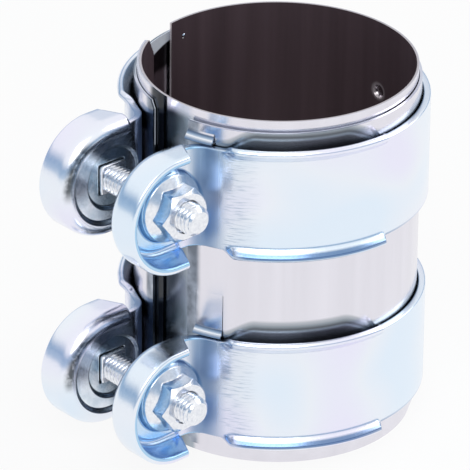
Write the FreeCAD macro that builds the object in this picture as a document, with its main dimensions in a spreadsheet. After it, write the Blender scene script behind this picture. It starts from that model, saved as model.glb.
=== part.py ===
import FreeCAD, Part

import math
import os

import Sketcher

# Exhaust pipe connector: a split stainless sleeve drawn together by two pressed steel bands
# Millimetres. Z runs up along the pipe, the ears point to -X and the bolts lie along Y.
# The origin is on the pipe's axis in the plane of the lower rim.

V = FreeCAD.Vector
ALONG_X = V(1, 0, 0)
ALONG_Y = V(0, 1, 0)

# Driving sizes: name, value, what it is
SIZES = [
    ("pipe_bore", 70.5, "clear bore of the liner, for a 70 mm pipe"),
    ("connector_length", 98.0, "length of the liner, rim to rim"),
    ("liner_wall", 0.7, "sheet of the inner liner"),
    ("strip_wall", 0.5, "sheet of the strip between liner and sleeve"),
    ("sleeve_wall", 0.7, "sheet of the outer sleeve"),
    ("sheet_gap", 0.05, "play between sheets that lie on one another"),
    ("liner_gap_from", 100.5, "first end of the liner, degrees from +X"),
    ("liner_gap_to", 115.0, "second end of the liner, degrees from +X"),
    ("liner_corner_tall", 5.0, "cropped corner of the liner, along Z"),
    ("liner_corner_wide", 3.0, "cropped corner of the liner, round the rim"),
    ("strip_from", 120.0, "hidden end of the strip, degrees from +X"),
    ("strip_to", 175.0, "end of the strip seen in the slot, degrees from +X"),
    ("sleeve_setback", 2.8, "how far the sleeve stays below the liner's rim"),
    ("slot_turn", 21.0, "slot of the sleeve, degrees"),
    ("sleeve_corner_tall", 2.0, "cropped corner of the sleeve, along Z"),
    ("sleeve_corner_wide", 1.5, "cropped corner of the sleeve, round the rim"),
    ("tab_turn", 12.2, "width of a lanced tab, degrees"),
    ("tab_middle", 20.8, "middle of a long tab, degrees from the slot's middle"),
    ("tab_slit", 0.2, "slit at each side of a tab, degrees"),
    ("long_tab", 12.0, "length of a tab between the bands"),
    ("short_tab", 2.6, "length of a tab at a rim"),
    ("tab_flare", 1.8, "how far a tab's free end stands out"),
    ("tab_lip", 2.2, "length of the flared end of a tab"),
    ("tab_play", 0.2, "play between a tab and the edge of its band"),
    ("dimple_width", 5.4, "pressed dimple of the liner, outside width at its foot"),
    ("dimple_rise", 0.9, "pressed dimple, height"),
    ("dimple_slope", 0.5, "slope round a dimple"),
    ("dimple_shift", 1.8, "dimple from the middle of its band, away from the other band"),
    ("band_setback", 7.7, "plain edge of a band from the liner's rim"),
    ("band_wall", 2.0, "sheet of the bands"),
    ("band_play", 0.3, "play between sleeve and band"),
    ("band_width", 28.0, "width of a band at its plain edges"),
    ("lip_rise", 2.3, "how far a lip goes past the plain edge"),
    ("lip_crease", 1.0, "where a lip turns out, inside the plain edge"),
    ("lip_flare", 2.3, "how far a lip stands out"),
    ("lip_from", 27.2, "start of a lip, degrees from the ears"),
    ("lip_to", 92.0, "end of a lip, degrees from the ears"),
    ("lip_crop", 4.0, "cropped corner where a lip starts, round the band"),
    ("ear_gap", 18.4, "between the two ears, plate to plate"),
    ("root_bend", 6.0, "bend between band and ear, to the middle of the sheet"),
    ("nut_clear", 0.8, "play between the nut's flange and the band"),
    ("ear_past_bolt", 1.8, "middle of the ear's round end, out from the bolt"),
    ("ear_round", 15.8, "radius of the ear's round end"),
    ("ear_depth", 10.0, "crest of the bead to the edge of the wall"),
    ("bead_round", 3.5, "outer radius of the bead"),
    ("bead_slope", 1.2, "width of the slope from the bead to the plate"),
    ("bead_rise", 1.0, "crest of the bead above the plate"),
    ("pad_width", 19.6, "round pad under the nut or the head, at its foot"),
    ("pad_rise", 1.2, "height of the pad above the plate"),
    ("pad_slope", 0.8, "width of the slope round the pad"),
    ("wall_past_bolt", 5.0, "end of the ear's straight walls, in from the bolt"),
    ("wall_crop", 3.9, "slant at the end of the ear's straight walls"),
    ("bolt_size", 8.0, "thread of the bolts"),
    ("bolt_play", 0.8, "round hole larger than the bolt"),
    ("neck_size", 8.0, "square neck of the bolts"),
    ("neck_play", 0.5, "square hole larger than the neck"),
    ("neck_length", 3.0, "square neck under the head"),
    ("head_width", 18.5, "domed head across"),
    ("head_rise", 4.6, "height of the domed head"),
    ("head_edge", 1.0, "upright edge of the head"),
    ("dome_break", 5.6, "radius where the dome's outer slope meets its crown"),
    ("tip_crop", 1.1, "cone at the bolt's tip"),
    ("tip_past_nut", 4.4, "bolt's tip past the nut"),
    ("seat_play", 0.05, "play under the head and the nut"),
    ("nut_flats", 13.0, "nut across flats"),
    ("nut_turn", 4.0, "how far the nuts are turned from square, degrees"),
    ("nut_height", 6.8, "nut with its flange"),
    ("flange_width", 18.2, "flange of the nut across"),
    ("flange_edge", 1.0, "thickness of the flange at its edge"),
    ("flange_cone", 2.4, "height of the flange where the flats begin"),
    ("thread_play", 0.05, "radial play between thread and nut"),
    ("nut_crop", 1.0, "cone at the corners of the nut"),
]


class Size:
    """A number together with the formula on the sheet that gives it."""

    def __init__(self, value, text=None):
        self.value = float(value)
        self.text = repr(self.value) if text is None else text

    def join(self, other, sign, value):
        return Size(value, "(" + self.text + " " + sign + " " + as_size(other).text + ")")

    def __add__(self, other):
        return self.join(other, "+", self.value + as_size(other).value)

    def __sub__(self, other):
        return self.join(other, "-", self.value - as_size(other).value)

    def __mul__(self, other):
        return self.join(other, "*", self.value * as_size(other).value)

    def __truediv__(self, other):
        return self.join(other, "/", self.value / as_size(other).value)

    def __radd__(self, other):
        return as_size(other) + self

    def __rsub__(self, other):
        return as_size(other) - self

    def __rmul__(self, other):
        return as_size(other) * self

    def __neg__(self):
        return Size(-self.value, "(0 - " + self.text + ")")


def as_size(number):
    return number if isinstance(number, Size) else Size(number)


def root(term):
    return Size(math.sqrt(term.value), "sqrt(" + term.text + ")")


def cosine(term):
    return Size(math.cos(math.radians(term.value)), "cos(" + term.text + " * 1 deg)")


def sine(term):
    return Size(math.sin(math.radians(term.value)), "sin(" + term.text + " * 1 deg)")


def arc_sine(term):
    return Size(math.degrees(math.asin(term.value)), "(asin(" + term.text + ") / 1 deg)")


def make_sheet(doc):
    sheet = doc.addObject("Spreadsheet::Sheet", "Sizes")
    sheet.Label = "Sizes"
    named = {}
    for row, (name, value, note) in enumerate(SIZES, start=1):
        sheet.set("A%d" % row, name)
        sheet.set("B%d" % row, str(value))
        sheet.setAlias("B%d" % row, name)
        sheet.set("C%d" % row, note)
        named[name] = Size(value, "Sizes." + name)
    doc.recompute()
    return named


# Small helpers for bodies, sketches and turned sections

def bind(thing, prop, term):
    thing.setExpression(prop, as_size(term).text)


def new_body(doc, label, x=None, z=None):
    body = doc.addObject("PartDesign::Body", "Body_" + label)
    body.Label = label
    if x is not None:
        bind(body, "Placement.Base.x", x)
    if z is not None:
        bind(body, "Placement.Base.z", z)
    return body


def origin_plane(body, role):
    for feature in body.Origin.OriginFeatures:
        if feature.Role == role:
            return feature
    raise RuntimeError("no plane " + role)


def sketch_on(body, name, role, shift=(None, None, None), turn=None):
    """A sketch on one of the body's own planes, shifted in and off it and turned about its Y."""
    sketch = body.newObject("Sketcher::SketchObject", name)
    sketch.AttachmentSupport = [(origin_plane(body, role), "")]
    sketch.MapMode = "FlatFace"
    start = as_size(0.0 if turn is None else turn)
    if turn is not None:
        placed = FreeCAD.Rotation(V(0, 1, 0), start.value if start.value else 1.0)
        sketch.AttachmentOffset = FreeCAD.Placement(V(0, 0, 0), placed)
        bind(sketch, "AttachmentOffset.Rotation.Angle", start)
    for axis, term in zip("xyz", shift):
        if term is not None:
            bind(sketch, "AttachmentOffset.Base." + axis, term)
    return sketch


def hold(sketch, kind, geo, pos, term):
    """Fix one coordinate of a point of the sketch, or lay the point on an axis."""
    if term.value == 0.0 and term.text == "0.0":
        axis = -2 if kind == "DistanceX" else -1
        sketch.addConstraint(Sketcher.Constraint("PointOnObject", geo, pos, axis))
        return
    index = sketch.addConstraint(Sketcher.Constraint(kind, -1, 1, geo, pos, term.value))
    bind(sketch, "Constraints[%d]" % index, term)


def outline(sketch, points):
    """A closed outline of straight sides through the points."""
    points = [(as_size(x), as_size(y)) for x, y in points]
    count = len(points)
    for i, (x0, y0) in enumerate(points):
        x1, y1 = points[(i + 1) % count]
        sketch.addGeometry(Part.LineSegment(V(x0.value, y0.value, 0), V(x1.value, y1.value, 0)), False)
    for i in range(count):
        sketch.addConstraint(Sketcher.Constraint("Coincident", i, 2, (i + 1) % count, 1))
    for i, (x, y) in enumerate(points):
        hold(sketch, "DistanceX", i, 1, x)
        hold(sketch, "DistanceY", i, 1, y)


def rectangle(x0, x1, y0, y1):
    return [(x0, y0), (x1, y0), (x1, y1), (x0, y1)]


def volume(body):
    return body.Shape.Volume if body.Tip is not None else 0.0


def check_change(body, before, grows, name):
    body.Document.recompute()
    change = volume(body) - before
    if (change > 0) != grows or abs(change) < 1e-3:
        raise RuntimeError("%s: %s changed the volume by %.4f" % (body.Label, name, change))


def turned(body, name, points, start, sweep, axis=(None, None), cut=False):
    """A section in (radius, height) turned about an upright axis, from a start angle by a sweep."""
    before = volume(body)
    y = None if axis[1] is None else -axis[1]
    sketch = sketch_on(body, name + "_section", "XZ_Plane", (axis[0], None, y), start)
    outline(sketch, points)
    kind = "PartDesign::Groove" if cut else "PartDesign::Revolution"
    feature = body.newObject(kind, name)
    feature.Profile = sketch
    feature.ReferenceAxis = (sketch, ["V_Axis"])
    bind(feature, "Angle", sweep)
    check_change(body, before, not cut, name)
    return feature


def block(body, name, x, y, z, cut=False):
    """A box between two values on each axis."""
    before = volume(body)
    kind = "PartDesign::SubtractiveBox" if cut else "PartDesign::AdditiveBox"
    box = body.newObject(kind, name)
    for side, start, (low, high) in zip(("Length", "Width", "Height"), "xyz", (x, y, z)):
        bind(box, side, as_size(high) - as_size(low))
        bind(box, "Placement.Base." + start, low)
    check_change(body, before, not cut, name)
    return box


def rod(body, name, radius, length, at, along, cut=False):
    """A cylinder from a point along a direction."""
    before = volume(body)
    kind = "PartDesign::SubtractiveCylinder" if cut else "PartDesign::AdditiveCylinder"
    cylinder = body.newObject(kind, name)
    cylinder.Placement = FreeCAD.Placement(V(0, 0, 0), FreeCAD.Rotation(V(0, 0, 1), along))
    bind(cylinder, "Radius", radius)
    bind(cylinder, "Height", length)
    for axis, term in zip("xyz", at):
        bind(cylinder, "Placement.Base." + axis, term)
    check_change(body, before, not cut, name)
    return cylinder


def spun(body, name, points, x=None, cut=False, half_turn=False, lift=None, about="V_Axis"):
    """A section in (x, y) turned about a line along Y or X; a half turn stays on one side of it."""
    before = volume(body)
    sketch = sketch_on(body, name + "_section", "XY_Plane", (x, None, lift))
    outline(sketch, points)
    kind = "PartDesign::Groove" if cut else "PartDesign::Revolution"
    feature = body.newObject(kind, name)
    feature.Profile = sketch
    feature.ReferenceAxis = (sketch, [about])
    feature.Angle = 180.0 if half_turn else 360.0
    feature.Midplane = half_turn
    check_change(body, before, not cut, name)
    return feature


def padded(body, name, sketch, length, cut=False):
    """A drawn outline pushed out by a length, or cut away by it."""
    before = volume(body)
    feature = body.newObject("PartDesign::Pocket" if cut else "PartDesign::Pad", name)
    feature.Profile = sketch
    bind(feature, "Length", length)
    check_change(body, before, not cut, name)
    return feature


# Radii and places that several pieces share

def shared(s):
    """Sizes worked out from the sheet: the nested radii, the bands and the ears."""
    d = {}
    d["liner_in"] = s["pipe_bore"] / 2
    d["liner_out"] = d["liner_in"] + s["liner_wall"]
    d["strip_in"] = d["liner_out"] + s["sheet_gap"]
    d["strip_out"] = d["strip_in"] + s["strip_wall"]
    # The sleeve lies on the liner at the back and on the strip's hidden end, so it sits off centre
    d["off_centre"] = (s["strip_wall"] + s["sheet_gap"]) / (1 - cosine(s["strip_from"]))
    d["sleeve_in"] = d["liner_out"] + s["sheet_gap"] + d["off_centre"]
    d["sleeve_out"] = d["sleeve_in"] + s["sleeve_wall"]
    d["band_in"] = d["sleeve_out"] + s["band_play"]
    d["band_out"] = d["band_in"] + s["band_wall"]
    d["half_width"] = s["band_width"] / 2
    d["lower"] = s["band_setback"] + d["half_width"]
    d["upper"] = s["connector_length"] - d["lower"]
    # Centre line of the band's sheet, of the ear's plate and of the bend that joins them
    d["band_line"] = d["band_in"] + s["band_wall"] / 2
    d["plate_line"] = s["ear_gap"] / 2 + s["band_wall"] / 2
    reach = d["band_line"] + s["root_bend"]
    d["bend_y"] = d["plate_line"] + s["root_bend"]
    d["bend_x"] = root(reach * reach - d["bend_y"] * d["bend_y"])
    d["bend_angle"] = arc_sine(d["bend_y"] / reach)
    # The nut and the head seat on the outer faces of the ears' plates
    d["plate_face"] = s["ear_gap"] / 2 + s["band_wall"]
    d["pad_face"] = d["plate_face"] + s["pad_rise"]
    d["seat"] = d["pad_face"] + s["seat_play"]
    # The bolts stand out far enough for the nut's flange to clear the band; the ears follow them
    band_there = root(d["band_out"] * d["band_out"] - d["seat"] * d["seat"])
    d["bolt_out"] = band_there + s["nut_clear"] + s["flange_width"] / 2
    d["ear_out"] = d["bolt_out"] + s["ear_past_bolt"]
    d["wall_end"] = d["bolt_out"] - s["wall_past_bolt"]
    return d


# The sheet pieces round the pipe

def add_dimples(body, s, d, x_in, x_out, grown):
    """Round dimples pressed outward opposite the ears; an outer sheet's are grown to take the inner's."""
    wall = x_out - x_in
    rise = s["dimple_rise"]
    lean = s["dimple_slope"] / rise
    # The cones run on into the sheet and out of it, so that its own faces end them
    deep, clear = x_in + wall / 2, x_in - wall
    top = s["dimple_width"] / 2 + grown - s["dimple_slope"]
    inner = top - wall
    solid = [
        (deep, 0.0),
        (x_out + rise, 0.0),
        (x_out + rise, top),
        (deep, top + (x_out + rise - deep) * lean),
    ]
    hollow = [
        (clear, 0.0),
        (x_in + rise, 0.0),
        (x_in + rise, inner),
        (clear, inner + (x_in + rise - clear) * lean),
    ]
    for name, height in (("upper", d["upper"] + s["dimple_shift"]), ("lower", d["lower"] - s["dimple_shift"])):
        spun(body, "Dimple_" + name, solid, lift=height, about="H_Axis")
        spun(body, "Dimple_hollow_" + name, hollow, lift=height, about="H_Axis", cut=True)


def make_liner(doc, s, d):
    """Inner liner: one sheet rolled to the bore, its ends apart and a corner cropped at each rim."""
    body = new_body(doc, "inner_liner")
    section = rectangle(d["liner_in"], d["liner_out"], 0.0, s["connector_length"])
    sweep = s["liner_gap_from"] + 360 - s["liner_gap_to"]
    turned(body, "Liner_sheet", section, s["liner_gap_to"], sweep)
    tall, wide = s["liner_corner_tall"], s["liner_corner_wide"]
    for name, rim, up in (("top", s["connector_length"], 1), ("foot", as_size(0.0), -1)):
        crop_corner(body, "Liner_corner_" + name, s["liner_gap_to"], 1, rim, up, tall, wide,
                    d["liner_out"] * 1.1)
    add_dimples(body, s, d, d["liner_in"], d["liner_out"], 0.0)
    return body


def crop_corner(body, name, angle, side, rim, up, tall, wide, reach):
    """Crop a corner of a rolled sheet whose end lies at an angle, out to a reach from the axis.

    side is 1 where the sheet runs on to larger angles; up is 1 at the upper rim.
    """
    past = 1.0
    sketch = sketch_on(body, name + "_outline", "XZ_Plane", turn=angle - 90)
    outline(sketch, [
        (0.0, rim - tall * up),
        (-wide * side, rim),
        (-wide * side, rim + past * up),
        (past * side, rim + past * up),
        (past * side, rim - tall * up),
    ])
    padded(body, name, sketch, reach, cut=True)


def make_strip(doc, s, d):
    """Strip between liner and sleeve; its free end shows in the sleeve's slot."""
    body = new_body(doc, "backing_strip")
    section = rectangle(d["strip_in"], d["strip_out"], 0.0, s["connector_length"])
    turned(body, "Strip_sheet", section, s["strip_from"], s["strip_to"] - s["strip_from"])
    return body


def add_tab(body, s, d, name, root_z, length, place, side, up):
    """A tab lanced from the sleeve, its free end flared out over the edge of a band.

    side is -1 for the half nearer -Y and 1 for the other; up is 1 where the free end points up.
    """
    free_z = root_z + length * up
    half = s["tab_turn"] / 2
    middle = 180 - place if side > 0 else 180 + place
    r_in, r_out = d["sleeve_in"], d["sleeve_out"]
    window_end = free_z + s["tab_play"] * up
    low, high = (root_z, window_end) if up > 0 else (window_end, root_z)
    window = rectangle(r_in - 1, r_out + 1, low, high)
    turned(body, name + "_window", window, middle - half, s["tab_turn"], cut=True)
    wall = s["sleeve_wall"]
    bend_z = free_z - s["tab_lip"] * up
    step = wall * 0.35
    section = [
        (r_in, root_z - wall * up),
        (r_out, root_z - wall * up),
        (r_out, root_z),
        (r_out + step, bend_z),
        (r_out + s["tab_flare"], free_z - wall * 0.5 * up),
        (r_out + s["tab_flare"] - wall * 0.6, free_z),
        (r_in + step, bend_z + wall * 0.3 * up),
        (r_in, root_z),
    ]
    start = middle - half + s["tab_slit"]
    turned(body, name, section, start, s["tab_turn"] - s["tab_slit"] * 2)


def make_sleeve(doc, s, d):
    """Outer sleeve: slotted at the ears, with tabs that keep each band from sliding."""
    body = new_body(doc, "outer_sleeve", x=-d["off_centre"])
    top = s["connector_length"] - s["sleeve_setback"]
    section = rectangle(d["sleeve_in"], d["sleeve_out"], s["sleeve_setback"], top)
    turned(body, "Sleeve_sheet", section, 180 + s["slot_turn"] / 2, 360 - s["slot_turn"])
    tall, wide = s["sleeve_corner_tall"], s["sleeve_corner_wide"]
    half_slot = s["slot_turn"] / 2
    reach = d["sleeve_out"] * 1.1
    crop_corner(body, "Sleeve_corner_top", 180 - half_slot, -1, top, 1, tall, wide, reach)
    crop_corner(body, "Sleeve_corner_foot", 180 + half_slot, 1, s["sleeve_setback"], -1, tall, wide, reach)
    edge_gap = d["half_width"] + s["tab_play"]
    # Near half: above each band. Far half: below each band. The short tabs start at the slot.
    long = (s["long_tab"], s["tab_middle"])
    short = (s["short_tab"], half_slot + s["tab_turn"] / 2)
    for name, band, (length, place), side in (
        ("Tab_upper_top", d["upper"], short, -1),
        ("Tab_lower_top", d["lower"], long, -1),
        ("Tab_upper_foot", d["upper"], long, 1),
        ("Tab_lower_foot", d["lower"], short, 1),
    ):
        root_z = band - (edge_gap + length) * side
        add_tab(body, s, d, name, root_z, length, place, side, side)
    add_dimples(body, s, d, d["sleeve_in"], d["sleeve_out"], s["sleeve_wall"] + s["sheet_gap"] * 2)
    return body


# The pressed bands with their ears

def bead_corner(middle, radius, backward=False):
    """Points on a quarter of the bead's round, from its crest to its wall."""
    points = []
    for angle in (0.0, 45.0, 90.0):
        turn = as_size(angle)
        points.append((middle[0] + radius * sine(turn), middle[1] - radius * cosine(turn)))
    return points[::-1] if backward else points


def ear_section(s, sign):
    """Section across half an ear, as (distance from its middle, y): plate, bead and wall."""
    wall = s["band_wall"]
    face = s["ear_gap"] / 2
    crest = face - s["bead_rise"]
    out = s["ear_round"]
    middle = (out - s["bead_round"], crest + s["bead_round"])
    flat = middle[0] - s["bead_slope"]
    rim = crest + s["ear_depth"]
    points = [(0.0, face), (flat, face)]
    points += bead_corner(middle, s["bead_round"])
    points += [(out, rim), (out - wall, rim)]
    points += bead_corner(middle, s["bead_round"] - wall, backward=True)
    points += [(flat, face + wall), (0.0, face + wall)]
    return [(x, as_size(y) * sign) for x, y in points]


def add_ear(body, s, d, name, sign):
    """One ear: a plate joined to the band by a bend, with a beaded wall round its outer end."""
    points = ear_section(s, sign)
    reach = d["ear_out"]
    half = s["band_wall"] / 2
    low, high = (s["ear_gap"] / 2, d["plate_face"]) if sign > 0 else (-d["plate_face"], -s["ear_gap"] / 2)
    # Bend from the band to the plate, turned about an upright axis outside the band
    bend = rectangle(s["root_bend"] - half, s["root_bend"] + half, -d["half_width"], d["half_width"])
    start = d["bend_angle"] if sign < 0 else as_size(-90.0)
    turned(body, name + "_bend", bend, start, 90 - d["bend_angle"], axis=(-d["bend_x"], d["bend_y"] * sign))
    root_x = (-d["wall_end"] - s["band_wall"], -d["bend_x"])
    block(body, name + "_root", root_x, (low, high), (-d["half_width"], d["half_width"]))
    # Round end, and the straight sides that run from it towards the band
    spun(body, name + "_round_end", [(-x, y) for x, y in points], -reach, half_turn=True)
    for side, part in ((1.0, "top"), (-1.0, "foot")):
        sketch = sketch_on(body, "%s_side_%s_section" % (name, part), "YZ_Plane", (None, None, -reach))
        outline(sketch, [(y, x * side) for x, y in points])
        padded(body, "%s_side_%s" % (name, part), sketch, reach - d["wall_end"])
    add_pad(body, s, d, name, sign)


def add_pad(body, s, d, name, sign):
    """A round pad pressed out of the ear's plate, hollow on the slot's side."""
    bolt_x = -d["bolt_out"]
    foot = s["pad_width"] / 2
    face = s["ear_gap"] / 2
    slope, rise = s["pad_slope"], s["pad_rise"]
    solid = [
        (0.0, face + s["band_wall"] / 2),
        (0.0, d["pad_face"]),
        (foot - slope, d["pad_face"]),
        (foot, d["plate_face"]),
        (foot, face + s["band_wall"] / 2),
    ]
    inner = foot - slope - s["band_wall"] / 2
    hollow = rectangle(0.0, inner, face - rise, face + rise)
    spun(body, name + "_pad", [(x, y * sign) for x, y in solid], bolt_x)
    spun(body, name + "_pad_hollow", [(x, y * sign) for x, y in hollow], bolt_x, cut=True)


def add_wall_slants(body, s, d, name, sign):
    """Slant the ends of the ear's straight walls back towards their edge."""
    past = 1.0
    start = (d["plate_face"] + s["band_wall"] / 4) * sign
    rim = (s["ear_gap"] / 2 - s["bead_rise"] + s["ear_depth"] + past) * sign
    x = -d["wall_end"]
    # Each cut runs down from its own height, past the wall and clear of the pad
    inside = s["pad_width"] / 2 + past
    outside = s["ear_round"] + past
    for part, height in (("top", outside), ("foot", -inside)):
        sketch = sketch_on(body, "%s_slant_%s_outline" % (name, part), "XY_Plane", (None, None, height))
        outline(sketch, [(x, start), (x - s["wall_crop"], rim), (x + past, rim), (x + past, start)])
        padded(body, "%s_slant_%s" % (name, part), sketch, outside - inside, cut=True)


def add_lip(body, s, d, name, start, side, up):
    """A flared lip along an edge of the band, cropped to the plain edge where it starts.

    start is the end by the ear and side is 1 where the lip runs on to larger angles.
    """
    edge = d["half_width"] * up
    wall = s["band_wall"]
    tip = edge + s["lip_rise"] * up
    out = d["band_out"] + s["lip_flare"]
    section = [
        (d["band_in"], edge - wall * up),
        (d["band_out"], edge - s["lip_crease"] * up),
        (out, tip - wall * 0.5 * up),
        (out - wall * 0.75, tip),
        (d["band_in"], edge),
    ]
    sweep = s["lip_to"] - s["lip_from"]
    turned(body, name, section, start if side > 0 else start - sweep, sweep)
    crop_corner(body, name + "_crop", start, side, tip, up, s["lip_rise"], s["lip_crop"], out * 1.05)


def make_band(doc, s, d, label, height, up):
    """One pressed band: hoop, flared lips, root bends and two beaded ears."""
    body = new_body(doc, label, x=-d["off_centre"], z=height)
    hoop = rectangle(d["band_in"], d["band_out"], -d["half_width"], d["half_width"])
    turned(body, "Hoop", hoop, 180 + d["bend_angle"], 360 - 2 * d["bend_angle"])
    for edge, part in ((1.0, "top"), (-1.0, "foot")):
        add_lip(body, s, d, "Near_lip_" + part, 180 + s["lip_from"], 1, edge)
        add_lip(body, s, d, "Far_lip_" + part, 180 - s["lip_from"], -1, edge)
    for name, sign in (("Near", -1.0), ("Far", 1.0)):
        add_ear(body, s, d, name, sign)
        add_wall_slants(body, s, d, name, sign)
    # Round hole in the near ear, square hole in the far ear; the bolt is set out from the pipe's axis
    bolt_x = -d["bolt_out"]
    past = s["band_wall"] / 2
    through = (s["ear_gap"] / 2 - past, d["pad_face"] + past)
    hole = (s["bolt_size"] + s["bolt_play"]) / 2
    rod(body, "Round_hole", hole, through[1] - through[0], (bolt_x, -through[1], 0.0), ALONG_Y, cut=True)
    square = (s["neck_size"] + s["neck_play"]) / 2
    block(body, "Square_hole", (bolt_x - square, bolt_x + square), through, (-square, square), cut=True)
    # Hole at the back for the sleeve's dimple
    sleeve_dimple = s["dimple_width"] / 2 + s["sleeve_wall"] + s["sheet_gap"] * 2
    rod(body, "Dimple_hole", sleeve_dimple + s["band_play"] * 2, s["band_wall"] * 3,
        (d["band_in"] - s["band_wall"], 0.0, s["dimple_shift"] * up), ALONG_X, cut=True)
    return body


# Bolts and nuts, modelled about the Y axis and set at the ears

def make_bolt(doc, s, d, label, height):
    """Carriage bolt: domed head on the far ear, square neck, shank with a coned tip past the nut."""
    body = new_body(doc, label, x=-(d["bolt_out"] + d["off_centre"]), z=height)
    seat = d["seat"]
    shank = s["bolt_size"] / 2
    head = s["head_width"] / 2
    edge = s["head_edge"]
    dome = s["head_rise"] - edge
    top = seat + s["head_rise"]
    tip = -(seat + s["nut_height"] + s["tip_past_nut"])
    points = [
        (0.0, top),
        (0.0, tip),
        (shank - s["tip_crop"], tip),
        (shank, tip + s["tip_crop"]),
        (shank, seat),
        (head, seat),
        (head, seat + edge),
        (s["dome_break"], top - dome * s["dome_break"] / (head * 2)),
    ]
    spun(body, "Bolt_turning", points)
    half = s["neck_size"] / 2
    block(body, "Square_neck", (-half, half), (seat - s["neck_length"], seat + edge / 2), (-half, half))
    return body


def make_nut(doc, s, d, label, height):
    """Flanged hexagon nut on the near ear."""
    body = new_body(doc, label, x=-(d["bolt_out"] + d["off_centre"]), z=height)
    seat = -d["seat"]
    front = seat - s["nut_height"]
    half_flats = s["nut_flats"] / 2
    corner = half_flats / cosine(as_size(30.0))
    sketch = sketch_on(body, "Hexagon", "XZ_Plane", (None, None, s["flange_edge"] - seat))
    angles = [s["nut_turn"] + 60.0 * i for i in range(6)]
    outline(sketch, [(corner * cosine(angle), corner * sine(angle)) for angle in angles])
    padded(body, "Flats", sketch, s["nut_height"] - s["flange_edge"])
    # Flange: a thin edge rising as a cone to the flats
    inner = s["bolt_size"] / 2 + s["thread_play"]
    flange = s["flange_width"] / 2
    spun(body, "Flange", [
        (inner, seat),
        (flange, seat),
        (flange, seat - s["flange_edge"]),
        (half_flats, seat - s["flange_cone"]),
        (inner, seat - s["flange_cone"]),
    ])
    rod(body, "Bore", inner, s["nut_height"] + 2, (0.0, front - 1, 0.0), ALONG_Y, cut=True)
    # Cone that takes the corners off the front of the flats
    past = 0.5
    spun(body, "Corner_cone", [
        (half_flats, front - past * s["nut_crop"]),
        (corner + past, front - past * s["nut_crop"]),
        (corner + past, front + s["nut_crop"]),
    ], cut=True)
    return body


def check_document(doc, bodies):
    for thing in doc.Objects:
        for word in ("Invalid", "Error"):
            if word in thing.State:
                raise RuntimeError(thing.Name + " is " + word)
    for body in bodies:
        shape = body.Shape
        if shape.isNull() or not shape.isValid() or len(shape.Solids) != 1:
            raise RuntimeError(body.Label + " is not one valid solid")


def main():
    doc = FreeCAD.newDocument("Connector")
    s = make_sheet(doc)
    d = shared(s)
    bodies = [make_liner(doc, s, d), make_strip(doc, s, d), make_sleeve(doc, s, d)]
    for level, up in (("upper", 1), ("lower", -1)):
        bodies.append(make_band(doc, s, d, "band_" + level, d[level], up))
        bodies.append(make_bolt(doc, s, d, "bolt_" + level, d[level]))
        bodies.append(make_nut(doc, s, d, "nut_" + level, d[level]))
    doc.recompute()
    check_document(doc, bodies)
    os.makedirs("parts", exist_ok=True)
    for body in bodies:
        body.Shape.exportStep(os.path.join("parts", body.Label + ".step"))
        print(body.Label, "volume %.0f" % body.Shape.Volume)


main()
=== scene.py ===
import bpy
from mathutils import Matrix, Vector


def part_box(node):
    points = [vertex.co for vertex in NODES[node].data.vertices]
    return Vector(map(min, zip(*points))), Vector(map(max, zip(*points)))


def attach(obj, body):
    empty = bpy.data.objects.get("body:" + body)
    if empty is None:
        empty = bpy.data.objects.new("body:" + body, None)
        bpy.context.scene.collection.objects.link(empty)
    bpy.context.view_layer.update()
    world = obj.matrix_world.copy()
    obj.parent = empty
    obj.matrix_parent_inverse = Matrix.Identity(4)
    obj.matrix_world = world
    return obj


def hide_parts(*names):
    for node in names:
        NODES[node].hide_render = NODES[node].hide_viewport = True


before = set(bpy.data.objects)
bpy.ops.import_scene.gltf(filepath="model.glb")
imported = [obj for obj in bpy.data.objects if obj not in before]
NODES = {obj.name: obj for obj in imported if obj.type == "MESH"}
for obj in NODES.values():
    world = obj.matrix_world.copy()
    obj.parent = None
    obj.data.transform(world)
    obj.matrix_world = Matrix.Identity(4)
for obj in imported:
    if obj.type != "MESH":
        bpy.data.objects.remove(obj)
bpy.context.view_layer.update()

import math

import bpy
import numpy as np

bl_info = {
    "name": "Exhaust pipe connector",
    "version": (1, 0, 0),
    "blender": (4, 5, 0),
    "location": "View3D > Sidebar > Connector",
    "description": "Finishes and fine forms of a double-band exhaust pipe connector",
    "category": "Object",
}

MM = 0.001
LEVELS = ("upper", "lower")

# Where the photograph was taken from
VIEW_BEARING = math.radians(-41.8)
VIEW_HEIGHT = math.radians(27.44)
VIEW_ROLL = math.radians(0.58)
VIEW_DISTANCE = 1.3
VIEW_TARGET_SIDE = -10.9 * MM
VIEW_TARGET_RISE = 47.4 * MM
FOCAL_PIXELS = 4984.6
IMAGE_PIXELS = 470


def linear(code):
    """An sRGB hex colour as linear red, green, blue and alpha."""
    parts = [int(code[i:i + 2], 16) / 255 for i in (1, 3, 5)]
    turned = [c / 12.92 if c <= 0.04045 else ((c + 0.055) / 1.055) ** 2.4 for c in parts]
    return (*turned, 1.0)


# Sizes and colours that a user would change

def length(name, default, note):
    """A property for a length, its default in millimetres."""
    return bpy.props.FloatProperty(
        name=name, description=note, default=default * MM, unit="LENGTH", precision=5)


def hex_colour(name, default, note):
    """A property for a colour, as an sRGB hex colour."""
    return bpy.props.StringProperty(name=name, description=note, default=default)


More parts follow.
